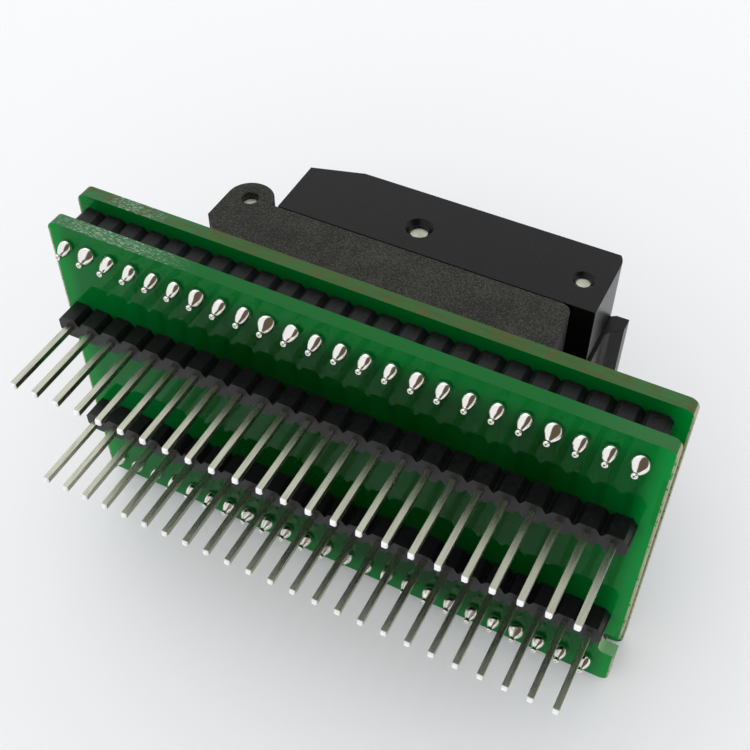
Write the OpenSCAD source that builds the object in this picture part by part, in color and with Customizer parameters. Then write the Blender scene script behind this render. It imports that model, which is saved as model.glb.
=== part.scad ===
// Clamshell test socket on a two-board pin adapter.
// +Z up with the header pins pointing down, +X towards the latch of the socket.
// Origin: centre of the boards, on the plane of the header pin tips.

/* [Boards] */
// Length of both boards, along X
board_l = 63.2; // [62.4:0.1:70]
// Width of both boards, along Y
board_w = 38.4; // [37.2:0.1:44]
// Thickness of each board
board_t = 1.5; // [1.0:0.1:2.0]
// Corner radius of the boards
board_corner_r = 1.0; // [0.4:0.1:2.0]
// Clear height between the two boards
board_gap = 3.3; // [2.9:0.1:5.0]
// Width of the notch in the lower board's latch-side edge
notch_w = 3.65; // [2.6:0.05:5.0]
// Depth of that notch
notch_depth = 1.8; // [1.3:0.1:2.0]
// Distance of that notch from the board's centre line
notch_y = 12.4; // [5.0:0.1:14.0]

/* [Pin rows] */
// Pins in each row
row_pins = 24; // [20:1:24]
// Distance from pin to pin
pitch = 2.54; // [2.54]
// Distance between the two header rows that plug in
header_rows = 15.24; // [15.24]
// Distance between the two rows that join the boards
spacer_rows = 33.02; // [33.02]
// Shift of all the pin rows and the socket along X
rows_shift = -0.4; // [-0.6:0.1:0.2]
// Side of a square pin
pin_side = 0.64; // [0.5:0.02:0.7]
// Length of header pin below its plastic strip
pin_free_l = 9.2; // [6.0:0.1:12.0]
// Height of the header strips' plastic
header_h = 2.54; // [2.0:0.02:3.0]
// Height of the spacer strips' plastic
spacer_h = 2.6; // [2.0:0.1:2.7]
// Width of all the plastic strips
strip_w = 2.54; // [2.2:0.02:2.6]
// Length of spacer pin that stands out under the lower board
spacer_tail = 1.5; // [1.2:0.1:2.0]
// Length of pin that stands out above a board
top_tail = 1.2; // [1.0:0.1:1.3]

/* [Socket] */
// Width of the socket, along Y
socket_w = 30; // [30:0.5:30]
// Height of the base's top face above the board
base_h = 10; // [9.8:0.1:10]
// Height of the closed lid's top face above the board
lid_top = 19.8; // [19.6:0.1:21]
// X of the lid's latch end
lid_end_x = 19.3; // [19.2:0.05:19.3]
// X of the chip nest's centre
nest_x = -0.9; // [-0.9]
// Contacts in each of the nest's two rows
row_contacts = 24; // [8:2:24]
// Distance from contact to contact
contact_pitch = 0.5; // [0.5]

/* [Hinge and latch] */
// X of the hinge pin
hinge_x = -18.75; // [-18.75]
// Height of the hinge pin above the board
hinge_h = 9.95; // [9.95]
// X of the latch pin
latch_x = 16.7; // [16.7]
// Height of the latch pin above the board
latch_h = 14.05; // [14.05]
// Height of the pressure plate's pin above the board
plate_pin_h = 13.7; // [13.7]
// Radius of the hinge pin and of the latch pin
thin_pin_r = 0.75; // [0.6:0.05:0.8]
// Radius of the pressure plate's pin
thick_pin_r = 0.95; // [0.8:0.05:1.0]
// Radial running clearance of a bore that turns on a pin
running_gap = 0.05; // [0.02:0.01:0.08]
// Width of the latch lever
lever_w = 15.4; // [14:0.1:15.4]

/* [Hidden] */
$fn = 48;
eps = 0.01;

// heights of the stack, from the pin tips up
z_strip = pin_free_l;
z_lower = z_strip + header_h;
z_gap = z_lower + board_t;
z_upper = z_gap + board_gap;
deck = z_upper + board_t;

// pin rows
strip_l = row_pins * pitch;
pin_tip_l = 0.22;
pin_tip_side = 0.46;
tail_taper_l = 0.95;
tail_end_side = 0.42;
break_w = 1.02;
break_flat = 0.16;
break_depth = 0.65;
drill_r = 0.5;

// solder
pad_r = 0.85;
pad_h = 0.06;
fillet_h = 1.05;
drop_h = 1.25;
drop_r = 0.7;
drop_neck_r = 0.37;
drop_steps = 7;
ring_h = 0.3;

// socket base
half_w = socket_w / 2;
base_end_x = 17.15;
base_foot_x = 17.6;
base_corner_r = 1.2;
foot_x = -18.6;
undercut_h = 5.75;
ear_r = 2.55;
ear_w = 4;
saddle_h = 7.2;
saddle_x = -15.6;
catch_w = 16.4;
catch_wall_x = 15.3;
catch_lo = 6.0;
catch_hi = 6.9;
peg_r = 0.9;
peg_l = 1.4;
peg_dx = 14.2;

// chip nest and contacts
well_l = 24.6;
well_w = 19;
block_h = 6.0;
block_gap = 0.05;
slot_u = 9.9;
slot_l = 2.75;
guide_l = 14;
guide_y = 6.15;
guide_t = 1.2;
guide_foot = 0.8;
guide_top = 7.3;
guide_lead = 0.4;
contact_t = 0.25;
contact_w = 0.3;
slot_gap = 0.03;
contact_tip_h = 6.45;
tail_step = 1.6;
tail_l = 2.5;
tail_drill_r = 0.35;

// lid
lid_lo = base_h + 0.15;
lid_back_x = -15.5;
lid_back_h = 17.4;
lid_bend_x = -7.5;
lid_round_r = 2;
lid_bevel = 0.7;
knuckle_r = 2.4;
knuckle_w = 4.8;
knuckle_gap = 0.2;
room_l = 23.2;
room_w = 16.2;
room_top = 17.6;
lever_room_x = 14.2;
lever_room_top = 19.0;
// pin ends lie this deep, under a countersink of this radius
hinge_recess = 0.72;
hinge_recess_r = 0.95;
latch_recess = 0.53;
latch_recess_r = 1.2;
press_recess = 0.85;
press_recess_r = 1.5;
sink_share = 0.65;
sink_step = 0.08;

// latch lever
lever_gap = 0.15;
lever_out_x = lid_end_x + 0.35;
lever_in_x = 17.75;
lever_up_x = 18.05;
lever_barrel_r = 1.65;
tab_out_x = 21.2;
tab_top = 18.3;
tab_lip = 16.6;
tab_root = 15.5;
hook_nose_x = 16.1;
hook_top = catch_lo - 0.1;
hook_bottom = 4.3;
hook_nose_h = 1.0;

// pressure plate
plate_l = 20.8;
plate_w = 13.8;
plate_lo = 8.6;
plate_hi = 11.8;
pad_l = 17.8;
pad_w = 11.8;
pad_lo = 7.75;
rib_l = 20.0;
rib_t = 0.95;
rib_lo = 6.95;
hub_r = 2.6;

// springs
wire_sides = 8;
hinge_wire_r = 0.25;
hinge_coil_r = 1.35;
hinge_turns = 8;
leg_tip_x = -14.1;
leg_slot_w = 1.0;
leg_slot_d = 1.3;
latch_wire_r = 0.18;
latch_coil_r = 0.95;
latch_turns = 6;
latch_spring_h = 16.95;
latch_seat_x = 12.6;
lever_spring_x = 18.0;
turn_steps = 18;

// ---- places ------------------------------------------------------------------

// X of pin i of a row
function pin_x(i) = rows_shift + (i - (row_pins - 1) / 2) * pitch;
// Y of contact i of a row
function contact_y(i) = (i - (row_contacts - 1) / 2) * contact_pitch;
// distance of a contact's tail from the nest's centre, staggered in two columns
function tail_u(i) = 8.95 + (i % 2) * tail_step;

// repeats its children at every pin of the row at y
module along_row(y)
    for (i = [0 : row_pins - 1])
        translate([pin_x(i), y, 0]) children();

// extrudes an X-Z outline from y0 to y1
module across(y0, y1)
    rotate([90, 0, 0])
        translate([0, 0, -y1])
            linear_extrude(y1 - y0) children();

// extrudes an X-Z outline over the width w, centred
module across_mid(w)
    across(-w / 2, w / 2) children();

// a round bar or bore along Y, centred, through (x, h) above the deck
module y_bar(x, h, r, l)
    translate([x, 0, h])
        rotate([90, 0, 0]) cylinder(r = r, h = l, center = true);

// countersinks in both side faces, over the ends of a pin of radius r
module pin_sinks(x, h, r, sink_r, recess)
    for (s = [-1, 1])
        translate([x, s * (half_w + eps), h])
            rotate([s * 90, 0, 0])
                cylinder(r1 = sink_r, r2 = r + sink_step, h = sink_share * recess + eps);

// ---- boards ------------------------------------------------------------------

module box_mid(l, w, z0, z1)
    translate([-l / 2, -w / 2, z0]) cube([l, w, z1 - z0]);

module board_outline(r = board_corner_r) {
    square([board_l - 2 * r, board_w], center = true);
    square([board_l, board_w - 2 * r], center = true);
    for (sx = [-1, 1], sy = [-1, 1])
        translate([sx * (board_l / 2 - r), sy * (board_w / 2 - r)]) circle(r);
}

// round-cornered notch that opens through the latch-side edge
module edge_notch(r = 0.7)
    translate([board_l / 2 - notch_depth, notch_y]) {
        translate([r, -notch_w / 2]) square([notch_depth, notch_w]);
        translate([0, -notch_w / 2 + r]) square([notch_depth, notch_w - 2 * r]);
        for (s = [-1, 1])
            translate([r, s * (notch_w / 2 - r)]) circle(r);
    }

module row_drills(rows)
    for (s = [-1, 1])
        along_row(s * rows / 2) circle(drill_r);

module lower_board()
    color("green")
        translate([0, 0, z_lower])
            linear_extrude(board_t)
                difference() {
                    board_outline();
                    edge_notch();
                    row_drills(header_rows);
                    row_drills(spacer_rows);
                }

module upper_board()
    color("green")
        translate([0, 0, z_upper])
            linear_extrude(board_t)
                difference() {
                    board_outline();
                    row_drills(spacer_rows);
                    for (s = [-1, 1], i = [0 : row_contacts - 1])
                        translate([nest_x + s * tail_u(i), contact_y(i)]) circle(tail_drill_r);
                    for (s = [-1, 1])
                        translate([nest_x + s * peg_dx, 0]) circle(peg_r + running_gap);
                }

// ---- pin headers -------------------------------------------------------------

// one side of the break groove between two segments of a strip
module break_groove()
    polygon([
        [-break_w / 2, 0], [-break_flat / 2, break_depth],
        [break_flat / 2, break_depth], [break_w / 2, 0], [0, -1]
    ]);

module strip_outline()
    difference() {
        translate([rows_shift, 0]) square([strip_l, strip_w], center = true);
        for (i = [0 : row_pins], s = [-1, 1])
            translate([pin_x(i) - pitch / 2, -s * strip_w / 2])
                scale([1, s]) break_groove();
        along_row(0) square(pin_side, center = true);
    }

module plastic_strip(y, z, h)
    color("dimgray")
        translate([0, y, z]) linear_extrude(h) strip_outline();

// side view of a pin, blunt at both ends; its lower end tapers over l to the side w
module pin_profile(z0, z1, l, w)
    polygon([
        [-w / 2, z0], [w / 2, z0], [pin_side / 2, z0 + l], [pin_side / 2, z1 - pin_tip_l],
        [pin_tip_side / 2, z1], [-pin_tip_side / 2, z1],
        [-pin_side / 2, z1 - pin_tip_l], [-pin_side / 2, z0 + l]
    ]);

module pin(z0, z1, l, w)
    intersection() {
        across_mid(pin_side) pin_profile(z0, z1, l, w);
        rotate([0, 0, 90]) across_mid(pin_side) pin_profile(z0, z1, l, w);
    }

module header_pin() pin(0, z_gap + top_tail, pin_tip_l, pin_tip_side);
module spacer_pin() pin(z_lower - spacer_tail, deck + top_tail, tail_taper_l, tail_end_side);

module pin_row(y)
    color("silver")
        along_row(y) children();

// ---- solder joints -----------------------------------------------------------

// concave cone of solder on a pad, its foot at z = 0
module solder_cone(r, h, top_r)
    rotate_extrude()
        polygon([[0, 0], [r, 0], [r, pad_h], [r * 0.82, h * 0.22], [r * 0.66, h * 0.55],
                 [top_r, h], [0, h]]);

// plump joint that swells from its pad and closes on the pin's tail
module solder_drop()
    rotate_extrude()
        polygon(concat(
            [[0, 0], [drop_r, 0]],
            [for (k = [0 : drop_steps])
                let (t = k / drop_steps)
                [drop_neck_r + (drop_r - drop_neck_r) * cos(90 * t), pad_h + (drop_h - pad_h) * t]],
            [[0, drop_h]]
        ));

module drop_solder(y)
    color("gainsboro")
        along_row(y)
            difference() {
                translate([0, 0, z_lower]) mirror([0, 0, 1]) solder_drop();
                spacer_pin();
            }

// solder round a square pin, standing on a face at z; up is +1 or -1
module pin_solder(y, z, up, h = fillet_h)
    color("gainsboro")
        along_row(y)
            translate([0, 0, z])
                difference() {
                    mirror([0, 0, up > 0 ? 0 : 1]) solder_cone(pad_r, h, pin_side * 0.78);
                    cube([pin_side, pin_side, 4 * h], center = true);
                }

module spacer_top_solder(y) {
    pin_solder(y, deck, 1);
    pin_solder(y, z_upper, -1, ring_h);
}

// ---- socket base -------------------------------------------------------------

// side view of the base between its ears
module base_profile()
    union() {
        polygon([
            [foot_x, 0], [base_foot_x, 0], [base_end_x, base_h - base_corner_r],
            [base_end_x - base_corner_r, base_h - base_corner_r],
            [base_end_x - base_corner_r, base_h], [saddle_x, base_h], [saddle_x, saddle_h],
            [hinge_x - ear_r, saddle_h], [hinge_x - ear_r, undercut_h],
            [foot_x, undercut_h - (foot_x - hinge_x + ear_r)]
        ]);
        translate([base_end_x - base_corner_r, base_h - base_corner_r]) circle(base_corner_r);
    }

module ear_profile()
    union() {
        translate([hinge_x, hinge_h]) circle(ear_r);
        translate([hinge_x - ear_r, undercut_h]) square([2 * ear_r, hinge_h - undercut_h]);
        translate([hinge_x, undercut_h]) square([saddle_x - hinge_x, base_h - undercut_h]);
    }

// the latch end is cut back above and below the catch bar
module catch_recess()
    for (z = [[-1, catch_lo], [catch_hi, base_h + 1]])
        translate([catch_wall_x, -catch_w / 2, z[0]])
            cube([4, catch_w, z[1] - z[0]]);

// groove in the base's top for the lid's leg of the hinge spring
module leg_slot()
    translate([saddle_x - eps, hinge_coil_l / 2 - leg_slot_w / 2, base_h - leg_slot_d])
        cube([leg_tip_x - saddle_x + 0.3, leg_slot_w, leg_slot_d + 1]);

module socket_base()
    color("darkslategray")
        translate([0, 0, deck]) {
            difference() {
                union() {
                    across_mid(socket_w) base_profile();
                    for (s = [-1, 1])
                        translate([0, s * (half_w - ear_w / 2), 0])
                            across_mid(ear_w) ear_profile();
                }
                translate([nest_x, 0, 0]) box_mid(well_l, well_w, -eps, base_h + 1);
                catch_recess();
                leg_slot();
                y_bar(hinge_x, hinge_h, thin_pin_r, socket_w + 1);
                pin_sinks(hinge_x, hinge_h, thin_pin_r, hinge_recess_r, hinge_recess);
            }
            for (s = [-1, 1])
                translate([nest_x + s * peg_dx, 0, -peg_l]) cylinder(r = peg_r, h = peg_l + eps);
        }

// ---- contact block -----------------------------------------------------------

// slot that holds one contact
module contact_slot(i, s)
    translate([s * slot_u, contact_y(i), block_h / 2])
        cube([slot_l, contact_t + 2 * slot_gap, block_h + 1], center = true);

// groove that a package guide stands in
module guide_groove(s)
    translate([0, s * (guide_y + guide_t / 2), 0])
        box_mid(guide_l, guide_t, block_h - guide_foot, block_h + 1);

module contact_block()
    color("dimgray")
        translate([nest_x, 0, deck])
            difference() {
                box_mid(well_l - 2 * block_gap, well_w - 2 * block_gap, 0, block_h);
                for (s = [-1, 1], i = [0 : row_contacts - 1]) contact_slot(i, s);
                for (s = [-1, 1]) guide_groove(s);
            }

// rails that keep the package in line, with a slope on top that leads it in
module package_guides()
    color("dimgray")
        for (s = [-1, 1])
            translate([nest_x, 0, deck])
                scale([1, s, 1])
                    translate([-guide_l / 2, 0, 0])
                        rotate([90, 0, 90]) linear_extrude(guide_l)
                            polygon([
                                [guide_y, block_h - guide_foot], [guide_y + guide_t, block_h - guide_foot],
                                [guide_y + guide_t, guide_top], [guide_y + guide_lead, guide_top],
                                [guide_y, guide_top - guide_lead]
                            ]);

// ---- contacts ----------------------------------------------------------------

function unit(v) = v / norm(v);
// normal of a path at point k
function path_normal(p, k) =
    let (a = p[max(k - 1, 0)], b = p[min(k + 1, len(p) - 1)], t = unit(b - a)) [-t[1], t[0]];
// outline of a ribbon of width w along the path p
function ribbon(p, w) = concat(
    [for (k = [0 : len(p) - 1]) p[k] + path_normal(p, k) * w / 2],
    [for (k = [len(p) - 1 : -1 : 0]) p[k] - path_normal(p, k) * w / 2]
);
// points of an arc from angle a to angle b
function arc(c, r, a, b, n) =
    [for (k = [0 : n]) c + r * [cos(a + (b - a) * k / n), sin(a + (b - a) * k / n)]];

// spring of a contact: up the outer side, over, and back down into the tip
contact_path = concat(
    [[9.2, 1.6]], [[10.2, 1.6]],
    arc([10.2, 2.3], 0.7, -60, 60, 4),
    [[9.6, 3.1]],
    arc([9.5, 3.8], 0.65, 250, 110, 4),
    arc([9.85, 5.3], 0.75, -60, 60, 4),
    [[9.8, contact_tip_h]]
);

// side view of contact i, drawn outwards from the nest's centre
module contact_profile(i) {
    polygon(ribbon(contact_path, contact_w));
    translate([8.7, 0.15]) square([2.3, 1.6]);
    translate([tail_u(i) - contact_w / 2, -tail_l]) square([contact_w, tail_l + 0.5]);
}

module contacts(s)
    color("goldenrod")
        translate([nest_x, 0, deck])
            for (i = [0 : row_contacts - 1])
                scale([s, 1, 1])
                    across(contact_y(i) - contact_t / 2, contact_y(i) + contact_t / 2)
                        contact_profile(i);

// small solder cones where the contact tails come out under the upper board
module contact_solder(s)
    color("gainsboro")
        for (i = [0 : row_contacts - 1])
            translate([nest_x + s * tail_u(i), contact_y(i), z_upper])
                difference() {
                    mirror([0, 0, 1]) solder_cone(0.46, 0.6, 0.24);
                    cube([contact_w, contact_t, 4], center = true);
                }

// ---- lid ---------------------------------------------------------------------

module lid_profile()
    union() {
        polygon([
            [lid_back_x, lid_lo], [lid_end_x, lid_lo], [lid_end_x, lid_top - lid_round_r],
            [lid_end_x - lid_round_r, lid_top - lid_round_r], [lid_end_x - lid_round_r, lid_top],
            [lid_bend_x, lid_top], [lid_back_x - 0.1, lid_back_h]
        ]);
        translate([lid_end_x - lid_round_r, lid_top - lid_round_r]) circle(lid_round_r);
    }

// end view of the lid, with its two long top edges bevelled
module lid_section()
    polygon([
        [-half_w, 0], [half_w, 0], [half_w, lid_top - lid_bevel],
        [half_w - lid_bevel, lid_top], [lid_bevel - half_w, lid_top], [-half_w, lid_top - lid_bevel]
    ]);

module knuckle_profile()
    union() {
        translate([hinge_x, hinge_h]) circle(knuckle_r);
        translate([hinge_x, lid_lo]) square([lid_back_x - hinge_x + 1, hinge_h + knuckle_r - lid_lo]);
    }

module lid()
    color("black")
        translate([0, 0, deck])
            difference() {
                union() {
                    intersection() {
                        across_mid(socket_w) lid_profile();
                        translate([-30, 0, 0])
                            rotate([90, 0, 90]) linear_extrude(60) lid_section();
                    }
                    for (s = [-1, 1])
                        translate([0, s * (half_w - ear_w - knuckle_gap - knuckle_w / 2), 0])
                            across_mid(knuckle_w) knuckle_profile();
                }
                // room for the pressure plate
                translate([nest_x - room_l / 2, -room_w / 2, lid_lo - eps])
                    cube([room_l, room_w, room_top - lid_lo]);
                // room for the lever, open at the latch end and below
                translate([lever_room_x, -lever_w / 2 - lever_gap, lid_lo - eps])
                    cube([10, lever_w + 2 * lever_gap, lever_room_top - lid_lo]);
                // seat of the latch spring
                translate([latch_seat_x, 0, latch_spring_h])
                    rotate([0, 90, 0]) cylinder(r = latch_coil_r + 0.35, h = 3);
                y_bar(hinge_x, hinge_h, thin_pin_r + running_gap, socket_w);
                y_bar(nest_x, plate_pin_h, thick_pin_r, socket_w + 1);
                y_bar(latch_x, latch_h, thin_pin_r, socket_w + 1);
                pin_sinks(nest_x, plate_pin_h, thick_pin_r, press_recess_r, press_recess);
                pin_sinks(latch_x, latch_h, thin_pin_r, latch_recess_r, latch_recess);
            }

// ---- pins of the socket ------------------------------------------------------

module steel_pin(x, h, r, recess)
    color("silver")
        translate([0, 0, deck]) y_bar(x, h, r, socket_w - 2 * recess);

// ---- pressure plate ----------------------------------------------------------

module pressure_plate()
    color("darkslategray")
        translate([nest_x, 0, deck])
            difference() {
                union() {
                    box_mid(plate_l, plate_w, plate_lo, plate_hi);
                    box_mid(pad_l, pad_w, pad_lo, plate_lo + eps);
                    for (s = [-1, 1])
                        translate([s * (rib_l - rib_t) / 2, 0, 0])
                            box_mid(rib_t, pad_w, rib_lo, plate_lo + eps);
                    across_mid(plate_w) {
                        translate([0, plate_pin_h]) circle(hub_r);
                        translate([-hub_r, plate_hi - 1]) square([2 * hub_r, plate_pin_h - plate_hi + 1]);
                    }
                    // webs from the hub to the plate's ends
                    for (s = [-1, 1])
                        translate([0, s * (plate_w / 2 - 0.8), 0])
                            across_mid(1.6)
                                polygon([
                                    [-plate_l / 2 + 1, plate_hi - eps], [plate_l / 2 - 1, plate_hi - eps],
                                    [hub_r - 0.4, plate_pin_h + 1.2], [0.4 - hub_r, plate_pin_h + 1.2]
                                ]);
                }
                y_bar(0, plate_pin_h, thick_pin_r + running_gap, plate_w + 1);
            }

// ---- latch lever -------------------------------------------------------------

// side view of the lever: finger tab at the top, hook at the bottom
module lever_profile()
    polygon([
        [lever_up_x, tab_top - 0.6], [lid_end_x, tab_top - 0.35],
        [lid_end_x + 0.55, tab_top], [tab_out_x, tab_top], [tab_out_x, tab_lip],
        [lever_out_x + 0.35, tab_root + 0.2], [lever_out_x, tab_root - 0.35],
        [lever_out_x, hook_bottom + 0.7], [lever_out_x - 0.7, hook_bottom],
        [hook_nose_x + 1.1, hook_bottom], [hook_nose_x, hook_bottom + hook_nose_h],
        [hook_nose_x, hook_top], [lever_in_x, hook_top], [lever_in_x, latch_h - 1.5],
        [latch_x, latch_h - 1.5], [latch_x, latch_h + 1.5], [lever_up_x, latch_h + 1.5]
    ]);

module latch_lever()
    color("black")
        translate([0, 0, deck])
            difference() {
                union() {
                    across_mid(lever_w) lever_profile();
                    y_bar(latch_x, latch_h, lever_barrel_r, lever_w);
                }
                y_bar(latch_x, latch_h, thin_pin_r + running_gap, lever_w + 1);
            }

// ---- springs -----------------------------------------------------------------

// tube of radius r along the points p; side is never parallel to the path
function ring_at(p, k, r, side) =
    let (a = p[max(k - 1, 0)], b = p[min(k + 1, len(p) - 1)], t = unit(b - a),
         n = unit(side - (side * t) * t), m = cross(t, n))
    [for (j = [0 : wire_sides - 1])
        p[k] + r * (cos(360 * j / wire_sides) * n + sin(360 * j / wire_sides) * m)];

module wire(p, r, side) {
    rows = [for (k = [0 : len(p) - 1]) ring_at(p, k, r, side)];
    last = len(p) - 1;
    polyhedron(
        points = [for (row = rows) for (q = row) q],
        faces = concat(
            [[for (j = [0 : wire_sides - 1]) j]],
            [for (k = [0 : last - 1], j = [0 : wire_sides - 1])
                let (a = k * wire_sides, n = (j + 1) % wire_sides)
                [a + j, a + wire_sides + j, a + wire_sides + n, a + n]],
            [[for (j = [wire_sides - 1 : -1 : 0]) last * wire_sides + j]]
        )
    );
}

// torsion spring on the hinge pin: one leg stands on the saddle, the other lies under the lid
hinge_coil_l = hinge_turns * 2.2 * hinge_wire_r;
hinge_steps = round((hinge_turns + 0.75) * turn_steps);
hinge_spring_path = concat(
    [[hinge_coil_r, -hinge_coil_l / 2, saddle_h - hinge_h + 0.05]],
    [for (k = [0 : hinge_steps])
        let (a = (hinge_turns * 360 + 270) * k / hinge_steps)
        [hinge_coil_r * cos(a), (k / hinge_steps - 0.5) * hinge_coil_l, hinge_coil_r * sin(a)]],
    [[leg_tip_x - hinge_x, hinge_coil_l / 2, base_h - 0.2 - hinge_h]]
);

module hinge_spring()
    color("silver")
        translate([hinge_x, 0, deck + hinge_h])
            wire(hinge_spring_path, hinge_wire_r, [0, 1, 0]);

latch_spring_l = lever_spring_x - latch_seat_x - 2 * latch_wire_r;
// the first and last turn lie nearly flat, the turns between them are spread
latch_flat = 2.25 * latch_wire_r;
function latch_rise(f) =
    let (turn = f * latch_turns, spread = (turn - 1) / (latch_turns - 2))
    latch_flat * (min(turn, 1) + max(0, turn - latch_turns + 1))
    + (latch_spring_l - 2 * latch_flat) * min(max(spread, 0), 1);
latch_spring_path = [for (k = [0 : latch_turns * turn_steps])
    let (f = k / (latch_turns * turn_steps), a = 360 * latch_turns * f)
    [latch_rise(f), latch_coil_r * cos(a), latch_coil_r * sin(a)]];

module latch_spring()
    color("silver")
        translate([latch_seat_x + latch_wire_r, 0, deck + latch_spring_h])
            wire(latch_spring_path, latch_wire_r, [1, 0, 0]);

// ---- nodes -------------------------------------------------------------------

lower_board();
upper_board();
plastic_strip(-header_rows / 2, z_strip, header_h);  // header_strip_front
plastic_strip(header_rows / 2, z_strip, header_h);  // header_strip_rear
pin_row(-header_rows / 2) header_pin();  // header_pins_front
pin_row(header_rows / 2) header_pin();  // header_pins_rear
pin_solder(-header_rows / 2, z_gap, 1);  // header_solder_front
pin_solder(header_rows / 2, z_gap, 1);  // header_solder_rear
plastic_strip(-spacer_rows / 2, z_gap, spacer_h);  // spacer_strip_front
plastic_strip(spacer_rows / 2, z_gap, spacer_h);  // spacer_strip_rear
pin_row(-spacer_rows / 2) spacer_pin();  // spacer_pins_front
pin_row(spacer_rows / 2) spacer_pin();  // spacer_pins_rear
drop_solder(-spacer_rows / 2);  // lower_solder_front
drop_solder(spacer_rows / 2);  // lower_solder_rear
spacer_top_solder(-spacer_rows / 2);  // upper_solder_front
spacer_top_solder(spacer_rows / 2);  // upper_solder_rear
socket_base();
contact_block();
package_guides();
contacts(-1);  // contacts_hinge_side
contacts(1);  // contacts_latch_side
contact_solder(-1);  // contact_solder_hinge_side
contact_solder(1);  // contact_solder_latch_side
steel_pin(hinge_x, hinge_h, thin_pin_r, hinge_recess);  // hinge_pin
hinge_spring();
lid();
steel_pin(nest_x, plate_pin_h, thick_pin_r, press_recess);  // pressure_pin
pressure_plate();
steel_pin(latch_x, latch_h, thin_pin_r, latch_recess);  // latch_pin
latch_lever();
latch_spring();
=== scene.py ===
# %% [markdown]
# # A clamshell socket on its two-board pin adapter
# This lesson dresses a finished CAD model. The model already has its place and its sizes, so
# nothing here moves or reshapes it. The cells add materials, lamps, two sheets to stand on and a
# camera, and new pieces that stand for a few CAD solids: plumper solder joints, taller spacer
# strips and a spring that can shorten.

# %% Load the CAD model
import math
import random

import bmesh
import bpy
from mathutils import Matrix, Vector


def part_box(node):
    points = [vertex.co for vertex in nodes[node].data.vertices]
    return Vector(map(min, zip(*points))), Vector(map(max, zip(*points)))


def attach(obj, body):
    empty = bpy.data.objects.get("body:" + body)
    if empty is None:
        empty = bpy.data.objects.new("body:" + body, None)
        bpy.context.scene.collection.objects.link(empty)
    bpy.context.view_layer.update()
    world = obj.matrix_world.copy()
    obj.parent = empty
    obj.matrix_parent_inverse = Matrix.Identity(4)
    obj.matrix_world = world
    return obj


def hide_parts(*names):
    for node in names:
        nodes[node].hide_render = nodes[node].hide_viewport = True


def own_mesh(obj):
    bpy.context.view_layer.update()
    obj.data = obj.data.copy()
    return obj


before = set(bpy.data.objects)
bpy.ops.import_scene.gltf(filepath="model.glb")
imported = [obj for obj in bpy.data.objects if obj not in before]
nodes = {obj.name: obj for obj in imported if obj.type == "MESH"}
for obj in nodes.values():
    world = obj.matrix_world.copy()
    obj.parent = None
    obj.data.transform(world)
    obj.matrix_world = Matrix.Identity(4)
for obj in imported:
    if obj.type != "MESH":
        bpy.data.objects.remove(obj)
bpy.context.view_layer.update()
MM = 0.001
TINY = 1e-6  # metres: what is closer together than this is in the same place

# %% [markdown]
# ## Shader maths as plain expressions
# Every finish below is a small sum of noises and masks. Wiring those by hand takes a Math node for
# each operator. A class that wraps one output and overloads the operators lets a finish be
# written as it would be on paper, and 1 - mask works too because the reflected forms are there.


# %% Sockets that understand + - *
class Signal:
    """One output of a shader tree."""

    def __init__(self, finish, socket):
        self.finish, self.socket = finish, socket

    def maths(self, operation, first, second=None):
        values = {0: first}
        if second is not None:
            values[1] = second
        return self.finish.node("ShaderNodeMath", {"operation": operation}, values)

    def __add__(self, other):
        return self.maths("ADD", self, other)

    def __radd__(self, other):
        return self.maths("ADD", other, self)

    def __sub__(self, other):
        return self.maths("SUBTRACT", self, other)

    def __rsub__(self, other):
        return self.maths("SUBTRACT", other, self)

    def __mul__(self, other):
        return self.maths("MULTIPLY", self, other)

    def __rmul__(self, other):
        return self.maths("MULTIPLY", other, self)

    def __gt__(self, other):
        return self.maths("GREATER_THAN", self, other)

    def __abs__(self):
        return self.maths("ABSOLUTE", self)

    def ramp(self, low, high):
        """0 below low, 1 above high and smooth between them."""
        return self.finish.node(
            "ShaderNodeMapRange",
            {"interpolation_type": "SMOOTHSTEP"},
            {"Value": self, "From Min": low, "From Max": high},
        )

    def every(self, step):
        """Distance to the nearest multiple of step."""
        return self.maths("PINGPONG", self, step / 2)


# %% [markdown]
# A material here is one Principled shader and what feeds it. `node` adds any node: its settings
# go in first, because they can change which sockets it has, and then its values or links.


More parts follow.
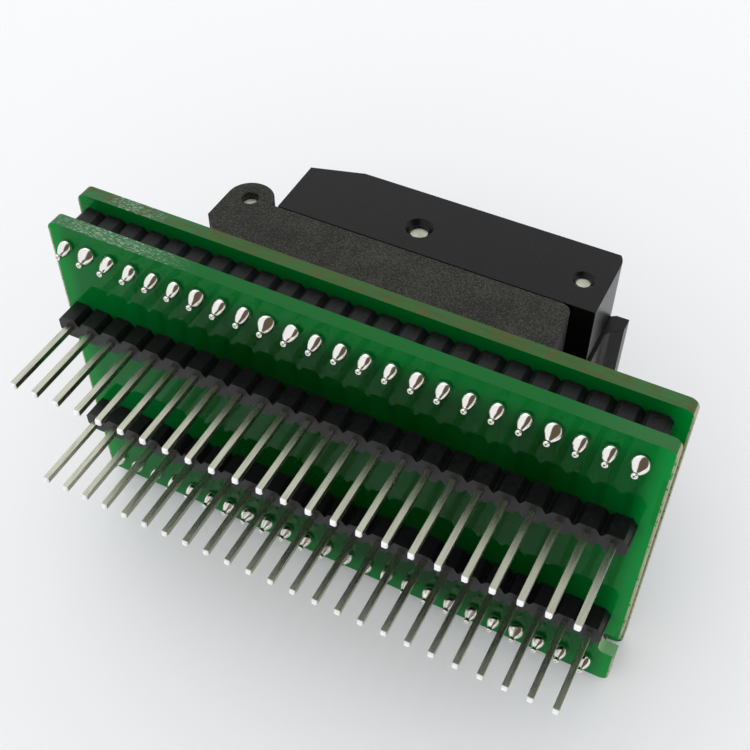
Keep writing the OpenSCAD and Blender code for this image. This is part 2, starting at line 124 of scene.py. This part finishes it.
# %% Materials with one way of adding nodes
class Finish:
    def __init__(self, name, **fixed):
        self.material = bpy.data.materials.new(name)
        self.material.use_nodes = True
        self.tree = self.material.node_tree
        self.tree.nodes.clear()
        self.out = self.tree.nodes.new("ShaderNodeOutputMaterial")
        self.shader = self.tree.nodes.new("ShaderNodeBsdfPrincipled")
        self.tree.links.new(self.shader.outputs[0], self.out.inputs["Surface"])
        self.set(**fixed)

    def node(self, kind, settings=None, sockets=None, output=0):
        made = self.tree.nodes.new(kind)
        for key, value in (settings or {}).items():
            setattr(made, key, value)
        for key, value in (sockets or {}).items():
            self.feed(made.inputs[key], value)
        return Signal(self, made.outputs[output])

    def feed(self, socket, value):
        if isinstance(value, Signal):
            self.tree.links.new(value.socket, socket)
        elif isinstance(value, tuple) and len(value) == 3 and socket.type == "RGBA":
            socket.default_value = (*value, 1.0)
        else:
            socket.default_value = value

    def set(self, **values):
        for key, value in values.items():
            self.feed(self.shader.inputs[key.replace("_", " ")], value)

    def place(self):
        """Where a point lies on the object, in millimetres."""
        here = self.node("ShaderNodeTexCoord", output="Object")
        return self.node(
            "ShaderNodeVectorMath", {"operation": "SCALE"}, {0: here, "Scale": 1 / MM}
        )

    def stretched(self, factors):
        """The place with each axis scaled, so that a noise on it is drawn out or pressed."""
        return self.node(
            "ShaderNodeVectorMath", {"operation": "MULTIPLY"}, {0: self.place(), 1: factors}
        )

    def facing(self, name):
        """How far the surface faces along one axis, either way: 1 is square on."""
        normal = self.node("ShaderNodeTexCoord", output="Normal")
        return abs(self.axis(normal, name))

    def axis(self, vector, name):
        return self.node("ShaderNodeSeparateXYZ", sockets={0: vector}, output=name)

    def noise(self, size, detail, roughness=0.5, at=None):
        """Soft noise between 0 and 1 whose lumps are about size millimetres across."""
        return self.node(
            "ShaderNodeTexNoise",
            sockets={"Vector": at or self.place(), "Scale": 1 / size, "Detail": detail,
                     "Roughness": roughness},
        )

    def blend(self, amount, first, second):
        return self.node(
            "ShaderNodeMix", {"data_type": "RGBA"},
            {"Factor": amount, 6: first, 7: second}, output=2,
        )

    def bump(self, height, depth, strength=1.0, edge=0.05):
        """Relief of the given depth over edges that look rounded, both in millimetres."""
        sockets = {"Height": height, "Distance": depth * MM, "Strength": strength}
        if edge:
            sockets["Normal"] = self.node(
                "ShaderNodeBevel", {"samples": 4}, {"Radius": edge * MM}
            )
        return self.node("ShaderNodeBump", sockets=sockets)


def dress(finish, *names):
    for name in names:
        piece = nodes[name]
        piece.data.materials.clear()
        piece.data.materials.append(finish.material)
    print(finish.material.name, "is on", ", ".join(names))


# %% [markdown]
# ## The rows of pins
# Everything on the boards follows the pins: 24 in a row, a tenth of an inch apart. The tracks in
# the mask, the solder drops and the blocks of the spacer strips all repeat with them.

# %% Where the pins stand, in millimetres
pins_in_row = 24
row_pitch = 2.54
strip_centre_x = -0.4
first_pin_x = strip_centre_x - (pins_in_row - 1) / 2 * row_pitch
spacer_row_y = 16.51
last_pin_x = first_pin_x + (pins_in_row - 1) * row_pitch
print("pins from x", round(first_pin_x, 2), "to", round(last_pin_x, 2))

# %% [markdown]
# ## The boards
# A circuit board is woven glass in resin with a coat of green lacquer, the solder mask, on both
# faces. Its cut edges have no mask. Both belong to one solid, so the direction that the surface
# faces tells the shader which one it is on, and one material holds a colour for each.
#
# The mask comes first. It is thin and glossy, so it mirrors the pins that stand on it. Its green
# holds painted light: it is dark in the middle, the lower board's most of all, as painted shade of
# the closed space between the boards, and brighter near the borders and the ends as painted light
# that comes through the thin board. A few soft masks blend from one to the other. The copper
# tracks under it show as faint raised strips, a little darker.

# %% Solder mask
board_low, board_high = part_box("lower_board")
between_boards_z = 15.0
mask = Finish(
    "solder_mask", IOR=1.5, Specular_IOR_Level=0.13, Specular_Tint=(0.0, 1.0, 0.15),
)
place = mask.place()
along, over = mask.axis(place, "X"), mask.axis(place, "Y")
upper = mask.axis(place, "Z") > between_boards_z
flat = mask.facing("Z") > 0.6

off_track = (along - first_pin_x).every(row_pitch)
between_rows = abs(over).ramp(8.9, 9.1) * (1 - abs(over).ramp(15.3, 15.5))
track = (1 - off_track.ramp(0.32, 0.42)) * between_rows * along.ramp(-26.0, -20.0)
cloud = mask.noise(9.0, 3.0)
weave = mask.noise(0.6, 2.0)
# Painted light: these masks brighten the green towards the ends and borders, where light comes
# through the thin board; the dark green of the lower board's middle is painted shade between the
# boards.
light_through_ends = abs(along).ramp(28.8, 31.4)
light_through_border = abs(over).ramp(14.6, 18.6)
light_spread_in = (0 - along).ramp(10.0, 32.0) + along.ramp(20.0, 33.0) * 0.6
green = mask.blend(upper, (0.0, 0.026, 0.002), (0.0, 0.09, 0.012))
green = mask.blend(light_through_border, green, (0.0, 0.125, 0.018))
green = mask.blend(light_spread_in, green, (0.0, 0.135, 0.02))
green = mask.blend(light_through_ends, green, (0.0, 0.25, 0.035))
green = mask.blend(cloud.ramp(0.3, 0.8) * 0.22, green, (0.0, 0.1, 0.015))
green = mask.blend(track * 0.2, green, (0.0, 0.012, 0.001))
print("board is", round((board_high.z - board_low.z) / MM, 2), "mm thick")

# %% [markdown]
# The cut edges are resin with the ends of glass fibres in it. The long ones look green, with pale,
# torn fibres near one end and brownish spots on the upper board. The short ones are bare and
# yellowish. Noise on a stretched place gives marks that run the length of the edge.

# %% Cut edge
bare = (0.4, 0.38, 0.25)
fibre = mask.noise(0.9, 4.0, 0.65, at=mask.stretched((0.28, 1.0, 2.2)))
left = (along + 20.0).ramp(-3.0, 6.0)
resin = mask.blend(upper, (0.014, 0.13, 0.03), (0.05, 0.12, 0.04))
resin = mask.blend(1 - left, resin, (0.05, 0.16, 0.065))
resin = mask.blend(along.ramp(20.0, 31.0) * 0.7, resin, (0.05, 0.16, 0.06))
resin = mask.blend(fibre.ramp(0.42, 0.66) * (0.12 + upper * 0.4), resin, (0.07, 0.075, 0.03))

lower = 1 - upper
torn = 1 - abs(along + 24.8 - lower * 0.5).ramp(1.2, 4.2 + lower * 6.0)
speck = mask.noise(0.17, 3.0, 0.7, at=mask.stretched((0.35, 1.0, 1.3))).ramp(0.5, 0.6) * torn
resin = mask.blend(speck * 0.75, resin, (0.42, 0.52, 0.42))
rust = mask.noise(1.9, 3.0, 0.7).ramp(0.46, 0.64)
resin = mask.blend(rust * upper * 0.7, resin, (0.1, 0.08, 0.032))
# Painted light: the cut wall inside the notch is painted a much lighter green, as if lit.
lit_notch_wall = (1 - abs(over).ramp(18.6, 18.9)) * along.ramp(28.0, 28.4)
resin = mask.blend(lit_notch_wall, resin, (0.2, 0.42, 0.2))
resin = mask.blend(mask.facing("X") > 0.8, resin, bare)
rim = abs(along).ramp(31.4, 31.46) * mask.noise(0.5, 2.0).ramp(0.3, 0.5)
green = mask.blend(rim, green, bare)

# %% [markdown]
# Now one shader takes both: flat surfaces get the smooth, glossy mask and the others the rough
# resin. Only the tracks, the weave under the mask and the torn fibres stand out as relief, by a
# few hundredths of a millimetre at most.

# %% Mask and edge in one material
mask.set(
    Base_Color=mask.blend(flat, resin, green),
    Roughness=0.5 - flat * 0.46 + weave * 0.01,
    Normal=mask.bump(track * 0.3 + weave * 0.04 + speck * (1 - flat), 0.03, 0.5),
)
dress(mask, "lower_board", "upper_board")
print("the boards' material has", len(mask.tree.nodes), "nodes")

# %% [markdown]
# ## The black plastics
# Four mouldings, four blacks. The header strips are glass-filled nylon with a soft sheen. The
# socket's base is a coarse heat-proof plastic that looks charcoal, with a grainy speckle where
# the filler lies open. The lid and its lever are smoother and darker, and the pieces that touch
# the chip are a little greyer than the lid. Only the colours, the size of the grain in
# millimetres, the roughness, the relief and the gloss differ, so one recipe takes those.


# %% One recipe for the mouldings
def moulding(name, dark, light, grain, rough, relief, gloss=0.3, edge=0.12):
    made = Finish(name, IOR=1.5, Specular_IOR_Level=gloss)
    fine, broad = made.noise(grain, 4.0, 0.7), made.noise(grain * 16, 3.0, 0.6)
    speck = (fine + (broad - 0.5) * 0.2).ramp(0.4, 0.7)
    made.set(
        Base_Color=made.blend(speck, dark, light),
        Roughness=rough + (fine - 0.5) * 0.2,
        Normal=made.bump(fine + broad * 0.3, relief, 0.7, edge),
    )
    return made


strip_plastic = moulding(
    "strip_plastic", (0.004, 0.004, 0.0042), (0.011, 0.011, 0.0115), 0.35, 0.42, 0.01, edge=0
)
dress(strip_plastic, "header_strip_front", "header_strip_rear")

base_plastic = moulding(
    "base_plastic", (0.003, 0.0028, 0.002), (0.064, 0.062, 0.047), 0.17, 0.7, 0.08
)
dress(base_plastic, "socket_base")

lid_plastic = moulding(
    "lid_plastic", (0.002, 0.0019, 0.0016), (0.006, 0.0056, 0.0048), 0.16, 0.3, 0.012, gloss=0.22
)
dress(lid_plastic, "lid", "latch_lever")

plate_plastic = moulding(
    "plate_plastic", (0.014, 0.013, 0.012), (0.035, 0.033, 0.03), 0.2, 0.5, 0.03
)
dress(plate_plastic, "pressure_plate", "contact_block", "package_guides")

# %% [markdown]
# ## The metals
# Tinned pins are a warm, soft silver with fine lengthwise drawing marks. The steel pins show matt
# ends, and the contacts are plated with gold. A metal shows mostly what it mirrors, so the room
# below matters as much to it as its own colour. All of them start from the same fine marks, and
# the plain ones add dull patches.


# %% Steel and gold
def marked_metal(name, streak=(1.0, 1.0, 1.0)):
    """A metal with fine marks, drawn out where streak is small; the marks come back with it."""
    made = Finish(name, Metallic=1.0)
    marks = made.noise(0.15, 3.0, at=made.stretched(streak))
    made.set(Normal=made.bump(marks, 0.006, 0.3, 0.08))
    return made, marks


def plain_metal(name, colour, rough, wear=0.12):
    made, marks = marked_metal(name)
    duller = tuple(c * (1 - wear * 2) for c in colour)
    made.set(
        Base_Color=made.blend(made.noise(1.7, 2.0).ramp(0.35, 0.7), colour, duller),
        Roughness=rough + marks * wear,
    )
    return made


steel = plain_metal("steel_pin", (0.62, 0.64, 0.52), 0.5)
dress(steel, "hinge_pin", "pressure_pin", "latch_pin")
wire_steel = plain_metal("spring_steel", (0.55, 0.55, 0.56), 0.25)
dress(wire_steel, "hinge_spring")
gold = plain_metal("contact_gold", (0.83, 0.6, 0.24), 0.22)
dress(gold, "contacts_hinge_side", "contacts_latch_side")

# %% [markdown]
# The tin has long, faint streaks. A pin's very tip is rough, and its white there is a painted
# highlight, so close above the floor the tin gives way to that. Solder is the brightest of all,
# and a dark spot at the end of each bead is partly the brown of its small pit and partly painted
# shade in it.

# %% Tin and solder
tin, _ = marked_metal("tinned_pin", (1.0, 1.0, 0.06))
# The white of a pin's tip is a painted highlight; its roughness is the rough cut.
rough_tip_and_highlight = 1 - tin.axis(tin.place(), "Z").ramp(0.12, 0.3)
streaks = tin.noise(0.2, 3.0, 0.6, at=tin.stretched((1.0, 1.0, 0.1))).ramp(0.45, 0.75)
drawn = tin.blend(streaks * 0.4, (0.45, 0.45, 0.36), (0.26, 0.27, 0.22))
tin.set(
    Base_Color=tin.blend(rough_tip_and_highlight, drawn, (1.0, 1.0, 1.0)),
    Roughness=0.27 + streaks * 0.12 + rough_tip_and_highlight * 0.2,
    Metallic=1 - rough_tip_and_highlight,
)
dress(tin, "header_pins_front", "header_pins_rear", "spacer_pins_front", "spacer_pins_rear")

solder, solder_marks = marked_metal("solder")
spot = solder.place()
off_row = abs(abs(solder.axis(spot, "Y")) - spacer_row_y)
off_pin = (solder.axis(spot, "X") - first_pin_x).every(row_pitch)
# Painted shade: the dark spot where a bead ends is partly the brown of its small pit and partly
# shade in it.
pit_colour_and_shade = 1 - (off_row + off_pin).ramp(0.1, 0.2)
solder.set(
    Base_Color=solder.blend(pit_colour_and_shade, (0.9, 0.88, 0.83), (0.1, 0.07, 0.04)),
    Roughness=0.07 + solder_marks * 0.06,
)
dress(solder, "header_solder_front", "header_solder_rear", "upper_solder_front",
      "upper_solder_rear", "contact_solder_hinge_side", "contact_solder_latch_side")

# %% [markdown]
# ## Hand-soldered joints
# Under the lower board every spacer pin ends in a drop of solder. Solder wets the pad and the
# pin and its skin pulls it plump, so a joint is a drop that narrows onto the pin's tail and ends
# in a bead. These were soldered by hand, with the foot of each drop drawn towards one edge of the
# board, and no two are alike. A drop is round, so half an outline is all that has to be drawn.
# Its dots are (distance from the pin, distance from the board), in millimetres.

# %% Outline of a drop
drop_outline = [(0.0, 0.0), (0.58, 0.0), (0.65, 0.1), (0.69, 0.28), (0.69, 0.46), (0.66, 0.68),
                (0.59, 0.9), (0.49, 1.1), (0.38, 1.27), (0.29, 1.4), (0.25, 1.48), (0.27, 1.55),
                (0.32, 1.63), (0.33, 1.74), (0.29, 1.83), (0.21, 1.87), (0.15, 1.85),
                (0.13, 1.75), (0.0, 1.68)]
print("a drop is", max(h for r, h in drop_outline), "mm high")

# %% [markdown]
# The outline is spun once round its pin. Then its dots are moved: the belly to one side, the foot
# towards the board's edge, and all of them out or in, by seeded random numbers. About one drop in
# eight is an odd one, fatter and with two lumps, and the others are only a little uneven.


# %% Spun drops
belly_height = 1.45
foot_height = 1.25
turn_steps = 20
odd_share = 0.12
chance = random.Random(7)


def linked_object(shape, name, material):
    """Turn a bmesh into an object of the scene with one material."""
    mesh = bpy.data.meshes.new(name)
    shape.to_mesh(mesh)
    shape.free()
    mesh.materials.append(material)
    made = bpy.data.objects.new(name, mesh)
    bpy.context.scene.collection.objects.link(made)
    return made


def drop_of_solder(shape, x, y, top, odd):
    """One drop that hangs from the board's face at height top."""
    fat = 1 + chance.uniform(-0.06, 0.06) + odd * 0.12
    tall = 1 + chance.uniform(-0.05, 0.04)
    lean = Vector((chance.uniform(-0.08, 0.08), chance.uniform(-0.08, 0.06), 0))
    foot = Vector((0.1, -0.46 if y < 0 else -0.2, 0))
    before = set(shape.verts)
    dots = [shape.verts.new((r * MM, 0, -h * MM)) for r, h in drop_outline]
    strokes = [shape.edges.new(pair) for pair in zip(dots, dots[1:])]
    bmesh.ops.spin(
        shape, geom=dots + strokes, cent=(0, 0, 0), axis=(0, 0, 1),
        angle=2 * math.pi, steps=turn_steps, use_merge=True,
    )
    made = [v for v in shape.verts if v not in before]
    for v in made:
        height = -v.co.z / MM
        neck = max(0.0, min(1.0, (height - 0.3) / 0.9))
        wide = fat + (1 - fat) * neck
        bulge = math.sin(math.pi * min(height / belly_height, 1.0))
        lump = 1 + odd * 0.2 * math.sin(2.0 * math.atan2(v.co.y, v.co.x) + x * 900) * bulge
        v.co.x, v.co.y = v.co.x * wide * lump, v.co.y * wide * lump
        v.co += (lean * bulge + foot * max(0.0, 1 - height / foot_height)) * MM
        v.co.z *= tall
        v.co += Vector((x, y, top))


def row_of_drops(name, replaced, y):
    shape = bmesh.new()
    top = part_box(replaced)[1].z
    for i in range(pins_in_row):
        odd = 1.0 if chance.random() < odd_share else chance.uniform(0, 0.25)
        drop_of_solder(shape, (first_pin_x + i * row_pitch) * MM, y * MM, top, odd)
    bmesh.ops.remove_doubles(shape, verts=shape.verts, dist=TINY)
    bmesh.ops.recalc_face_normals(shape, faces=shape.faces)
    for face in shape.faces:
        face.smooth = True
    piece = linked_object(shape, name, solder.material)
    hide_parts(replaced)
    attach(piece, "board_stack")
    print(name, "has", len(piece.data.polygons), "faces")


row_of_drops("solder_drops_front", "lower_solder_front", -spacer_row_y)
row_of_drops("solder_drops_rear", "lower_solder_rear", spacer_row_y)

# %% [markdown]
# ## The spacer strips between the boards
# These are bodies of snap-off pin header: a row of blocks with a groove at each snap line. They
# fill the gap between the boards. The CAD strip is a little lower, so a taller one stands for it
# here. One cube becomes a block when its upright edges are cut off, since those cuts are the
# grooves, and a fine ridge in two of them is where the halves of the mould met. Without its two
# side faces the block is repeated, welded into one strip and closed.

# %% Blocks welded into a strip
gap_low, gap_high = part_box("lower_board")[1].z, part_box("upper_board")[0].z
strip_height = (gap_high - gap_low) / MM - 0.04
groove = 0.5
ridge = 0.07
worn_edge = 0.05
print("the strips are", round(strip_height, 2), "mm high")


def one_block(shape):
    """A block with cut edges, with a ridge in two of the cuts, open at its two side faces."""
    bmesh.ops.create_cube(shape, size=row_pitch * MM)
    bmesh.ops.scale(shape, vec=(1, 1, strip_height / row_pitch), verts=shape.verts)
    upright = [e for e in shape.edges if abs(e.verts[0].co.z - e.verts[1].co.z) > MM]
    bmesh.ops.bevel(
        shape, geom=upright, offset=groove * MM, segments=1, profile=0.5, affect="EDGES",
        material=-1,
    )
    for slope in [f for f in shape.faces if f.normal.x * f.normal.y > 0.3]:
        out = slope.normal.copy()
        level = [e for e in slope.edges if abs(e.verts[0].co.z - e.verts[1].co.z) < TINY]
        middle = sum((v.co for v in slope.verts), Vector()) / 4
        bmesh.ops.subdivide_edges(shape, edges=level, cuts=3, use_grid_fill=True)
        crest = [v for v in shape.verts if (v.co - middle).xy.length < TINY]
        bmesh.ops.translate(shape, vec=out * ridge * MM, verts=crest)
    sides = [f for f in shape.faces if abs(f.normal.x) > 0.9]
    bmesh.ops.delete(shape, geom=sides, context="FACES_ONLY")


def strip_of_blocks(name, replaced, y):
    shape = bmesh.new()
    one_block(shape)
    first = Vector((first_pin_x * MM, y * MM, gap_low + strip_height * MM / 2))
    bmesh.ops.translate(shape, vec=first, verts=shape.verts)
    bmesh.ops.spin(
        shape, geom=shape.verts[:] + shape.edges[:] + shape.faces[:], cent=(0, 0, 0),
        axis=(0, 0, 1), dvec=(row_pitch * MM, 0, 0), angle=0, steps=pins_in_row - 1,
        use_duplicate=True,
    )
    bmesh.ops.remove_doubles(shape, verts=shape.verts, dist=TINY)
    bmesh.ops.holes_fill(shape, edges=[e for e in shape.edges if e.is_boundary], sides=0)
    bmesh.ops.recalc_face_normals(shape, faces=shape.faces)
    corners = [e for e in shape.edges if e.is_convex and e.calc_face_angle(0) > 0.7]
    bmesh.ops.bevel(
        shape, geom=corners, offset=worn_edge * MM, segments=2, profile=0.5, affect="EDGES",
        material=-1,
    )
    open_edges = sum(not e.is_manifold for e in shape.edges)
    piece = linked_object(shape, name, strip_plastic.material)
    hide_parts(replaced)
    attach(piece, "board_stack")
    print(name, "has", len(piece.data.polygons), "faces and", open_edges, "open edges")


strip_of_blocks("spacer_body_front", "spacer_strip_front", -spacer_row_y)
strip_of_blocks("spacer_body_rear", "spacer_strip_rear", spacer_row_y)

# %% [markdown]
# ## The spring behind the lever
# A small compression spring pushes the top of the lever outwards. Pressing the lever shortens it,
# which a rigid solid can't do, so a coil of the same size, with a mesh of its own, stands for it.
# A coil is a circle of wire that is spun round the spring's axis while it moves along it.
# The first and last turn lie nearly flat, as on a real spring, and the four between are spread.

# %% A coil that shortens
wire_radius = 0.18
spread_turns = 4
steps_per_turn = 24
spring_low, spring_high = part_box("latch_spring")
coil_radius = (spring_high.y - spring_low.y) / 2 - wire_radius * MM
spring_seat = Vector((spring_low.x, 0, (spring_low.z + spring_high.z) / 2))
flat_rise = 2.25 * wire_radius * MM
spring_length = spring_high.x - spring_low.x
spread_rise = (spring_length - 2 * wire_radius * MM - 2 * flat_rise) / spread_turns

coil = bmesh.new()
bmesh.ops.create_circle(coil, segments=10, radius=wire_radius * MM)
bmesh.ops.translate(coil, vec=(wire_radius * MM, coil_radius, 0), verts=coil.verts)
ring = coil.verts[:] + coil.edges[:]
for turns, rise in ((1, flat_rise), (spread_turns, spread_rise), (1, flat_rise)):
    ring = bmesh.ops.spin(
        coil, geom=ring, cent=(0, 0, 0), axis=(1, 0, 0), dvec=(rise / steps_per_turn, 0, 0),
        angle=2 * math.pi * turns, steps=steps_per_turn * turns,
    )["geom_last"]
bmesh.ops.holes_fill(coil, edges=[e for e in coil.edges if e.is_boundary], sides=0)
bmesh.ops.translate(coil, vec=spring_seat, verts=coil.verts)
bmesh.ops.recalc_face_normals(coil, faces=coil.faces)
for face in coil.faces:
    face.smooth = len(face.verts) == 4
latch_coil = linked_object(coil, "latch_coil", wire_steel.material)
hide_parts("latch_spring")
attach(latch_coil, "lid")
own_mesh(latch_coil)
print("the coil is", [round(v / MM, 2) for v in latch_coil.dimensions], "mm")

# %% [markdown]
# ## The floor and the table
# The adapter is shown in two ways. Upright it stands on its pin tips on a floor. The camera of
# this scene, however, looks at its underside, as when it leans on a table on its long edge. So
# there are two pale sheets, and each shows only its top face: seen from behind it is clear.


# %% Sheets that show one face
def sheet(name, colour, only_for_eyes):
    """Paper that is clear from behind. Only for eyes, it is no mirror image and casts no light."""
    made = Finish(name, Base_Color=colour, Roughness=0.9, Specular_IOR_Level=0.1)
    front = 1 - made.node("ShaderNodeNewGeometry", output="Backfacing")
    if only_for_eyes:
        front = front * made.node("ShaderNodeLightPath", output="Is Camera Ray")
    clear = made.node("ShaderNodeBsdfTransparent")
    paper = Signal(made, made.shader.outputs[0])
    shown = made.node("ShaderNodeMixShader", sockets={0: front, 1: clear, 2: paper})
    made.tree.links.new(shown.socket, made.out.inputs["Surface"])
    return made.material


sheet_size = 1.6


def spread(name, centre, up, material):
    """A square sheet with its top face towards up."""
    shape = bmesh.new()
    bmesh.ops.create_grid(shape, x_segments=1, y_segments=1, size=sheet_size / 2)
    turn = Vector(up).to_track_quat("Z", "Y").to_matrix().to_4x4()
    bmesh.ops.transform(shape, matrix=Matrix.Translation(centre) @ turn, verts=shape.verts)
    made = linked_object(shape, name, material)


floor_paper = sheet("floor_paper", (0.84, 0.84, 0.85), only_for_eyes=True)
table_paper = sheet("table_paper", (0.95, 0.95, 0.952), only_for_eyes=False)
spread("floor", (0, 0, -0.03 * MM), (0, 0, 1), floor_paper)
table_up = Vector((0, -0.978, -0.21)).normalized()
board_edge = Vector((0, 19.2, 18.04)) * MM
spread("table", board_edge, table_up, table_paper)
print("table leans", round(math.degrees(table_up.angle(Vector((0, 0, 1)))), 1), "degrees")

# %% [markdown]
# ## Light
# Small glossy things need big lamps: a large soft panel above the table gives the pins and the
# mask something pale to mirror, and a second one over the socket lights its lid. The world is
# pale and even, so that no side is lost in black. Polished metal in an even room looks like chalk,
# so mirror rays alone find one dark patch in the room, as they would find someone standing there.


# %% World
room = bpy.data.worlds.new("room")
bpy.context.scene.world = room
room.use_nodes = True
tree = room.node_tree
backdrop = tree.nodes["Background"]
backdrop.inputs["Strength"].default_value = 0.99
pale_wall = (0.93, 0.94, 0.96, 1)
dark_patch = (0.11, 0.085, 0.055, 1)
patch_rim, patch_core = 0.8, 0.87
someone = Vector((0.67, -0.61, -0.42)).normalized()

looking = tree.nodes.new("ShaderNodeTexCoord")
toward = tree.nodes.new("ShaderNodeVectorMath")
toward.operation = "DOT_PRODUCT"
toward.inputs[1].default_value = someone
tree.links.new(looking.outputs["Generated"], toward.inputs[0])
shade = tree.nodes.new("ShaderNodeMapRange")
shade.interpolation_type = "SMOOTHSTEP"
shade.inputs["From Min"].default_value = patch_rim
shade.inputs["From Max"].default_value = patch_core
tree.links.new(toward.outputs["Value"], shade.inputs["Value"])
ray = tree.nodes.new("ShaderNodeLightPath")
both = tree.nodes.new("ShaderNodeMath")
both.operation = "MULTIPLY"
tree.links.new(shade.outputs["Result"], both.inputs[0])
tree.links.new(ray.outputs["Is Glossy Ray"], both.inputs[1])
tone = tree.nodes.new("ShaderNodeMix")
tone.data_type = "RGBA"
tone.inputs[6].default_value = pale_wall
tone.inputs[7].default_value = dark_patch
tree.links.new(both.outputs[0], tone.inputs["Factor"])
tree.links.new(tone.outputs[2], backdrop.inputs["Color"])
print("the dark patch is", round(2 * math.degrees(math.acos(patch_rim))), "degrees wide")

# %% [markdown]
# A panel is a square area lamp. It is placed in metres and turned to face the socket.

# %% Lamps
lamp_target = Vector((0, 0, 0.018))


def panel(name, at, size, watts):
    lamp = bpy.data.lights.new(name, "AREA")
    lamp.energy, lamp.size = watts, size
    made = bpy.data.objects.new(name, lamp)
    made.location = at
    made.rotation_mode = "QUATERNION"
    made.rotation_quaternion = (lamp_target - Vector(at)).to_track_quat("-Z", "Y")
    bpy.context.scene.collection.objects.link(made)
    print(name, "panel is", round((lamp_target - Vector(at)).length, 2), "m away")


away = Vector((-0.39, -0.19, 0.9))
key_from = (table_up + away * 0.6 + Vector((-0.3, 0, -0.1))).normalized()
panel("key", key_from * 0.85, 0.6, 0.7)
panel("over", (0.05, -0.1, 0.5), 0.3, 0.16)

# %% [markdown]
# ## The camera
# It looks at the underside with the header pins towards it, and it is rolled, so its three
# directions are given one by one as the columns of its matrix.

# %% Camera
lens = bpy.data.cameras.new("camera")
lens.sensor_width = 36
lens.lens = 54.5
lens.clip_start, lens.clip_end = 0.005, 10
eye = bpy.data.objects.new("camera", lens)
bpy.context.scene.collection.objects.link(eye)
look = Vector((-0.3035, 0.7406, 0.5995)).normalized()
right = Vector((0.8911, -0.0021, 0.4537))
right = (right - look * right.dot(look)).normalized()
up = right.cross(look)
stand = Vector((35.3, -90.72, -49.68)) * MM
turned = Matrix((right, up, -look)).transposed().to_4x4()
eye.matrix_world = Matrix.Translation(stand) @ turned
bpy.context.scene.camera = eye
bpy.context.scene.view_settings.view_transform = "Standard"
print("the camera stands", round(stand.length / MM), "mm from the origin")
